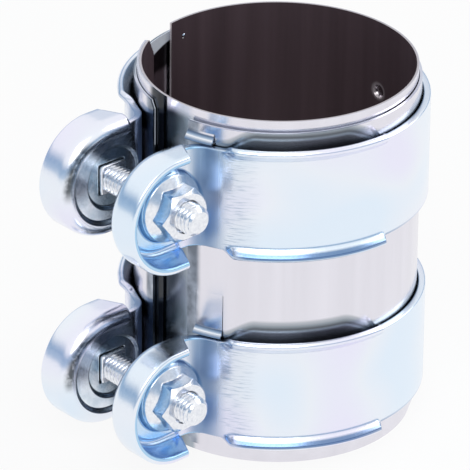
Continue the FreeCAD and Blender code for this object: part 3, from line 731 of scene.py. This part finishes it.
def edge_curve(s, lip):
    """Section of the band's edge, from the outer face over the edge to the inner face, as (out, up).

    lip is 0 where the edge is plain and 1 where it is a full lip. The sheet's middle turns outward over the
    first part of its length; half the sheet is laid off on each side and the end is rounded.
    """
    lip = lip[:, None]
    start = s.band_half - LIP_ROOT
    total = LIP_ROOT + (s.lip_length - LIP_ROOT) * lip
    corner = FREE_CORNER + LIP_CORNER * lip
    share = np.linspace(0, 1, 15)[None, :]
    run = total - corner
    turned = lip * LIP_TURN * smooth(share / LIP_SHARE)
    middle = (turned[:, 1:] + turned[:, :-1]) / 2
    step = run * (share[:, 1:] - share[:, :-1])
    zero = np.zeros_like(lip)
    out = np.hstack([zero, np.cumsum(np.sin(middle) * step, 1)])
    up = start + np.hstack([zero, np.cumsum(np.cos(middle) * step, 1)])
    a = np.linspace(0, np.pi / 2, 6)[None, 1:]
    sides = []
    for side in (1, -1):
        face = np.stack([out + side * s.half_wall * np.cos(turned),
                         up - side * s.half_wall * np.sin(turned)], -1)
        ahead, across = corner * np.sin(a), side * (s.half_wall - corner * (1 - np.cos(a)))
        last = turned[:, -1:]
        tip = np.stack([out[:, -1:] + ahead * np.sin(last) + across * np.cos(last),
                        up[:, -1:] + ahead * np.cos(last) - across * np.sin(last)], -1)
        sides.append(np.concatenate([face, tip], 1))
    return np.concatenate([sides[0], sides[1][:, ::-1]], 1)


# Degrees from the ears at which a lip starts to rise and to fall, and over how many it does so
LIP_FROM = 27.2
LIP_TO = 90.8
LIP_RISE = 6
LIP_FALL = 2

# The hole at the back of a band: steps of the grid across the square round it, and the steps of the
# square's rim, between which the grid gives way from the square to the hole's circle
HOLE_STEPS = 24
HOLE_RIM = 5


def hoop_shell(s, hole_up):
    """The band from one root bend round the pipe to the other: a section carried along arcs.

    The angle from the ears sets how far each edge is flared into a lip. At the back, round a hole at the
    height hole_up, the grid's squares are blended into circles by their share of the way in.
    """
    end = np.pi / 2 - s.bend_angle
    turn = np.concatenate([[JOIN_TURN - 0.1, JOIN_TURN], np.linspace(JOIN_TURN, end, 10)[1:]])
    bend = np.stack([-s.bend_x + s.root_bend * np.sin(turn), s.bend_y - s.root_bend * np.cos(turn),
                     -np.sin(turn), np.cos(turn)], -1)
    block = np.linspace(-s.hole_block, s.hole_block, HOLE_STEPS + 1)
    far = np.linspace(s.hole_block / s.band_line, np.pi - s.bend_angle, 150)[1:-1]
    angle = np.concatenate([far[::-1], block[::-1] / s.band_line, -far])
    across, deep = np.cos(angle), np.sin(angle)
    hoop = np.stack([s.band_line * across, s.band_line * deep, across, deep], -1)
    path = np.concatenate([bend, hoop, bend[::-1] * np.array([1, -1, 1, -1])])
    from_ears = np.concatenate([np.zeros(len(bend)), 180 - np.abs(np.degrees(angle)), np.zeros(len(bend))])
    lip = smooth((from_ears - LIP_FROM) / LIP_RISE) * (1 - smooth((from_ears - LIP_TO) / LIP_FALL))
    top = edge_curve(s, lip)
    foot = (top * np.array([1, -1]))[:, ::-1]
    plain = s.band_half - LIP_ROOT
    below = np.linspace(-plain, hole_up - s.hole_block, 5)[1:-1]
    above = np.linspace(hole_up + s.hole_block, plain, 5)[1:-1]
    rows = np.concatenate([below, hole_up + block, above])[None, :] + 0 * lip[:, None]
    outer = np.stack([s.half_wall + 0 * rows, rows], -1)
    inner = np.stack([-s.half_wall + 0 * rows, rows[:, ::-1]], -1)
    half = foot.shape[1] // 2
    ring = np.concatenate([foot[:, half:], outer, top, inner, foot[:, :half]], 1)
    ring[[0, -1]] *= np.array([0.97, 0.998])
    points = np.stack([path[:, None, 0] + path[:, None, 2] * ring[..., 0],
                       path[:, None, 1] + path[:, None, 3] * ring[..., 0], ring[..., 1]], -1)
    # Places of the square round the hole in the grid: its stations, and its columns on both faces
    steps = np.arange(HOLE_STEPS + 1)
    station = len(bend) + len(far) + steps
    outside = foot.shape[1] - half + len(below) + steps
    inside = foot.shape[1] - half + rows.shape[1] + top.shape[1] + rows.shape[1] - 1 - len(below) - steps
    u, v = block[::-1, None], block[None, :]
    side = np.maximum(np.abs(u), np.abs(v)) + 1e-9
    rim = s.hole_block * (1 - 2 * HOLE_RIM / HOLE_STEPS)
    share = np.clip((side - rim) / (s.hole_block - rim), 0, 1)
    grow = (1 - share) * s.hole_radius / (np.hypot(u, v) + 1e-9) + share * s.hole_block / side
    around = u * grow / s.band_line
    for columns, radius in ((outside, s.band_line + s.half_wall), (inside, s.band_line - s.half_wall)):
        points[np.ix_(station, columns)] = np.stack(
            [radius * np.cos(around), radius * np.sin(around), hole_up + v * grow], -1)
    # The faces in the hole go, and a wall joins the two circles
    count, cols = points.shape[:2]
    faces = ladder_faces(count, cols)
    gone = np.zeros((count - 1, cols), bool)
    lo, hi = HOLE_RIM, HOLE_STEPS - HOLE_RIM
    gone[station[lo]:station[hi], outside[lo]:outside[hi]] = True
    gone[station[lo]:station[hi], inside[hi]:inside[lo]] = True
    run = np.arange(lo, hi)
    back = run[::-1] + 1
    r = np.concatenate([run, np.full_like(run, hi), back, np.full_like(run, lo)])
    c = np.concatenate([np.full_like(run, lo), run, np.full_like(run, hi), back])
    front_loop, back_loop = (station[r] * cols + columns[c] for columns in (outside, inside))
    wall = np.stack([np.roll(front_loop, -1), front_loop, back_loop, np.roll(back_loop, -1)], -1)
    faces = np.concatenate([faces[:gone.size][~gone.ravel()], faces[gone.size:], wall])
    used, numbers = np.unique(faces, return_inverse=True)
    return outward(points.reshape(-1, 3)[used], numbers.reshape(faces.shape))


def placed(shells, shift):
    return [(points + np.array(shift), faces) for points, faces in shells]


class CONNECTOR_OT_bands(bpy.types.Operator):
    """Make the two pressed bands with their rounded lips, beads and ears."""

    bl_idname = "connector.bands"
    bl_label = "Bands"

    def execute(self, context):
        s = Sizes(context.scene.connector_sizes)
        zinc = zinc_finish(context.scene.connector_colours, s)
        for level in LEVELS:
            node = "band_" + level
            low, high = box_mm(node)
            shells = [hoop_shell(s, s.dimple_shift if level == "upper" else -s.dimple_shift)]
            for sign, square in ((-1, False), (1, True)):
                shells += [plate_shell(s, square, sign), wall_shell(s, sign)]
            shells = placed(shells, (-s.off_centre, 0, (low[2] + high[2]) / 2))
            add_piece(node + "_pressed", shells, "sleeve", zinc, (node,))
        return {"FINISHED"}


# Bolts and nuts

def around_bolt(x, z, radius, y, angle):
    """Points at a distance and an angle from a line along Y."""
    return np.stack([x + radius * np.cos(angle), y + 0 * angle, z + radius * np.sin(angle)], -1)


def threaded_shank(x, z, y_tip, y_end, radius, pitch, depth, crop):
    """A screw thread about a line along Y.

    The radius is the crest's, less the depth times a flat-topped triangle wave of
    (distance along / pitch - angle / full turn), and is cut back by a cone at the tip.
    """
    around, per_turn = 56, 12
    steps = int((y_end - y_tip) / pitch * per_turn)
    along = np.linspace(0, y_end - y_tip, steps)[:, None]
    angle = (np.arange(around) * 2 * np.pi / around)[None, :]
    phase = (along / pitch - angle / (2 * np.pi)) % 1
    wave = np.clip(np.abs(phase - 0.5) * 3 - 0.2, 0, 1)
    fade = np.clip((y_end - y_tip - along) / pitch, 0, 1)
    r = radius - depth * wave * fade
    r = np.minimum(r, radius - crop + along)
    return tube_shell(around_bolt(x, z, r, y_tip + along, angle))


def head_shell(x, z, seat, head, edge, rise):
    """The domed head: part of a sphere through the head's edge and its top, over an upright edge."""
    lift = rise - edge
    sphere = (head * head + lift * lift) / (2 * lift)
    reach = np.linspace(0.02, 0.985, 22) * head
    dome = seat + edge + np.sqrt(sphere ** 2 - reach ** 2) - (sphere - lift)
    corner = [(head, seat + edge * 0.75), (head, seat + 0.25), (head - 0.25, seat), (1.0, seat)]
    profile = np.concatenate([np.stack([reach, dome], -1), corner])
    angle = (np.arange(72) * np.pi / 36)[None, :]
    r, y = profile[:, :1], profile[:, 1:]
    return tube_shell(around_bolt(x, z, r, y, angle))


def neck_shell(x, z, low, high, half):
    """The square neck, its corners rounded: a circle stretched by a high power mean."""
    turn = (np.arange(48) * np.pi / 24)[None, :]
    across = np.stack([np.cos(turn), np.sin(turn)], -1)
    across = across / (np.abs(across) ** SQUARENESS).sum(-1, keepdims=True) ** (1 / SQUARENESS) * half
    y = np.array([low, low + 0.2, high])[:, None]
    scale = np.array([0.95, 1.0, 1.0])[:, None]
    return tube_shell(np.stack([x + across[..., 0] * scale, y + 0 * turn, z + across[..., 1] * scale], -1))


# Fall of the flange's cone, a nut's rounded corners as a share of half its flats, and how far it is turned
FLANGE_FALL = 1.62
CORNER_REACH = 1.135
NUT_TURN = math.radians(4)


def nut_shell(x, z, seat, front, flats, bore, flange, turned):
    """A flanged hexagon nut on a line along Y, its front towards -Y.

    Its radius is the larger of the hexagon's and the flange's cone, and the smaller of that and the cone
    that takes off the front corners.
    """
    angle = (np.arange(180) * np.pi / 90)[None, :]
    sector = (angle - turned) % (np.pi / 3) - np.pi / 6
    hexagon = np.minimum(flats / 2 / np.cos(sector), flats / 2 * CORNER_REACH)
    depth = seat - front
    cone_rows = np.linspace(1.0, 2.6, 12)
    crop_rows = np.linspace(depth - 1.25, depth, 12)
    cone_edge, cone_start = flange - 0.15, 0.95
    rows = [(bore, 0.0), (flange - 0.25, 0.0), (flange, 0.2), (flange, 0.75), (cone_edge, cone_start)]
    section = [r + 0 * angle for r, d in rows]
    depths = [d for r, d in rows]
    for d in cone_rows:
        cone = cone_edge - (d - cone_start) * FLANGE_FALL
        section.append(np.maximum(cone + 0 * angle, hexagon))
        depths.append(d)
    for d in crop_rows:
        section.append(np.minimum(hexagon, flats / 2 - 0.35 + (depth - d) * 1.0))
        depths.append(d)
    section += [bore + 0.5 + 0 * angle, bore + 0 * angle]
    depths += [depth, depth - 0.5]
    r = np.concatenate(section)
    y = seat - np.array(depths)[:, None]
    return ring_shell(around_bolt(x, z, r, y, angle))


class CONNECTOR_OT_bolts(bpy.types.Operator):
    """Make the two carriage bolts with their threads, and the two flanged nuts."""

    bl_idname = "connector.bolts"
    bl_label = "Bolts and nuts"

    def execute(self, context):
        s = Sizes(context.scene.connector_sizes)
        metal = bolt_finish()
        for level in LEVELS:
            bolt, nut = "bolt_" + level, "nut_" + level
            low, high = box_mm(bolt)
            x, z = (low[0] + high[0]) / 2, (low[2] + high[2]) / 2
            seat = high[1] - s.head_rise
            shells = [
                threaded_shank(x, z, low[1], seat - s.neck_length / 2, s.bolt_radius,
                               s.thread_pitch, s.thread_depth, s.tip_crop),
                head_shell(x, z, seat, (high[0] - low[0]) / 2, s.head_edge, s.head_rise),
                neck_shell(x, z, seat - s.neck_length, seat + s.head_edge / 2, s.neck_size / 2),
            ]
            add_piece(bolt + "_threaded", shells, bolt, metal, (bolt,))
            low, high = box_mm(nut)
            flange = (high[0] - low[0]) / 2
            shell = nut_shell(x, z, high[1], low[1], s.nut_flats, s.nut_bore, flange, NUT_TURN)
            add_piece(nut + "_flanged", [shell], nut, metal, (nut,), sharp=30)
        return {"FINISHED"}


# Floor, light and camera

class CONNECTOR_OT_stage(bpy.types.Operator):
    """Floor, light and camera."""

    bl_idname = "connector.stage"
    bl_label = "Stage"

    def execute(self, context):
        add_floor()
        add_world(context.scene)
        add_lamps()
        add_camera(context.scene)
        return {"FINISHED"}


def add_floor():
    half = 3.0
    corners = [(-half, -half, 0), (half, -half, 0), (half, half, 0), (-half, half, 0)]
    mesh = bpy.data.meshes.new("floor")
    mesh.from_pydata(corners, [], [(0, 1, 2, 3)])
    floor = bpy.data.objects.new("floor", mesh)
    bpy.context.scene.collection.objects.link(floor)
    material, tree, out = start_material("white paper sweep")[:3]
    # Mostly plain white to the camera, so that only a soft shadow stays on it
    paper = add_node(tree, "ShaderNodeBsdfDiffuse", Color=linear("#F4F4F4"))
    glow = add_node(tree, "ShaderNodeEmission", Color=linear("#FFFFFF"), Strength=1.0)
    path = add_node(tree, "ShaderNodeLightPath")
    shown = math_node(tree, "MAXIMUM", path.outputs["Is Camera Ray"], path.outputs["Is Glossy Ray"])
    share = times(tree, shown, 0.9)
    mix = add_node(tree, "ShaderNodeMixShader", _0=share, _1=paper.outputs[0], _2=glow.outputs[0])
    tree.links.new(mix.outputs[0], out.inputs[0])
    mesh.materials.append(material)


def add_world(scene):
    """A white room: plain white to the camera, with darker walls low down for mirrored rays."""
    world = bpy.data.worlds.new("studio")
    scene.world = world
    world.use_nodes = True
    tree = world.node_tree
    tree.nodes.clear()
    out = add_node(tree, "ShaderNodeOutputWorld")
    path = add_node(tree, "ShaderNodeLightPath")
    mirrored = math_node(tree, "MAXIMUM", path.outputs["Is Glossy Ray"], path.outputs["Is Transmission Ray"])
    shown = math_node(tree, "MAXIMUM", mirrored, path.outputs["Is Camera Ray"])
    # Walls of the room in a mirrored ray, from the floor's line up to the white ceiling
    ray = add_node(tree, "ShaderNodeTexCoord").outputs["Generated"]
    height = add_node(tree, "ShaderNodeSeparateXYZ", Vector=ray).outputs[2]
    walls = ramp_node(tree, height, (0.0, "#FFFFFF"), (0.04, "#BDCEE0"), (0.3, "#8CA9C8"), (0.5, "#FFFFFF"))
    colour = mix_node(tree, mirrored, (1, 1, 1, 1), walls)
    white = add_node(tree, "ShaderNodeBackground", Color=colour, Strength=1.0)
    room = add_node(tree, "ShaderNodeBackground", Color=linear("#F2F5FA"), Strength=0.6)
    mix = add_node(tree, "ShaderNodeMixShader", _0=shown, _1=room.outputs[0], _2=white.outputs[0])
    tree.links.new(mix.outputs[0], out.inputs[0])


def aimed(place, target):
    """A holder's matrix, written as Blender stores it, that looks along its -Z from place to target."""
    aim = np.array(target) - np.array(place)
    side = np.cross(aim, (0, 0, 1))
    up = np.cross(side, aim)
    turned = np.eye(4)
    turned[:3, :3] = np.column_stack([v / np.linalg.norm(v) for v in (side, up, -aim)])
    turned[:3, 3] = place
    return turned.T.tolist()


def add_lamps():
    for name, place, size, power in (
        ("key softbox", (-0.9, -0.9, 1.4), 1.2, 12.0),
        ("fill softbox", (1.2, -0.6, 0.9), 1.0, 6.0),
    ):
        lamp = bpy.data.lights.new(name, "AREA")
        lamp.size = size
        lamp.energy = power
        holder = bpy.data.objects.new(name, lamp)
        holder.matrix_world = aimed(place, (0.0, 0.0, 0.05))
        bpy.context.scene.collection.objects.link(holder)


def add_camera(scene):
    """Camera at the photograph's bearing and height, rolled by a fraction of a degree."""
    across = np.array([math.cos(VIEW_BEARING), math.sin(VIEW_BEARING), 0.0])
    back = np.array([math.sin(VIEW_BEARING) * math.cos(VIEW_HEIGHT),
                     -math.cos(VIEW_BEARING) * math.cos(VIEW_HEIGHT), math.sin(VIEW_HEIGHT)])
    up = np.cross(back, across)
    right = across * math.cos(VIEW_ROLL) + up * math.sin(VIEW_ROLL)
    top = up * math.cos(VIEW_ROLL) - across * math.sin(VIEW_ROLL)
    target = across * VIEW_TARGET_SIDE + np.array([0, 0, VIEW_TARGET_RISE])
    turned = np.eye(4)
    turned[:3, :3] = np.column_stack([right, top, back])
    turned[:3, 3] = target + back * VIEW_DISTANCE
    lens = bpy.data.cameras.new("camera")
    lens.sensor_width = 36.0
    lens.lens = FOCAL_PIXELS / IMAGE_PIXELS * lens.sensor_width
    lens.clip_end = 20.0
    camera = bpy.data.objects.new("camera", lens)
    camera.matrix_world = turned.T.tolist()
    scene.collection.objects.link(camera)
    scene.camera = camera
    scene.view_settings.view_transform = "Standard"


class CONNECTOR_PT_panel(bpy.types.Panel):
    """Buttons for the connector's pieces."""

    bl_idname = "CONNECTOR_PT_panel"
    bl_label = "Connector"
    bl_space_type = "VIEW_3D"
    bl_region_type = "UI"
    bl_category = "Connector"

    def draw(self, context):
        for operator in OPERATORS:
            self.layout.operator(operator.bl_idname)


OPERATORS = (CONNECTOR_OT_sleeve, CONNECTOR_OT_bands, CONNECTOR_OT_bolts, CONNECTOR_OT_stage)
CLASSES = (ConnectorSizes, ConnectorColours) + OPERATORS + (CONNECTOR_PT_panel,)


def register():
    for cls in CLASSES:
        bpy.utils.register_class(cls)
    bpy.types.Scene.connector_sizes = bpy.props.PointerProperty(type=ConnectorSizes)
    bpy.types.Scene.connector_colours = bpy.props.PointerProperty(type=ConnectorColours)


def unregister():
    del bpy.types.Scene.connector_colours
    del bpy.types.Scene.connector_sizes
    for cls in reversed(CLASSES):
        bpy.utils.unregister_class(cls)


def main():
    register()
    bpy.ops.connector.sleeve()
    bpy.ops.connector.bands()
    bpy.ops.connector.bolts()
    bpy.ops.connector.stage()


if __name__ == "__main__":
    main()
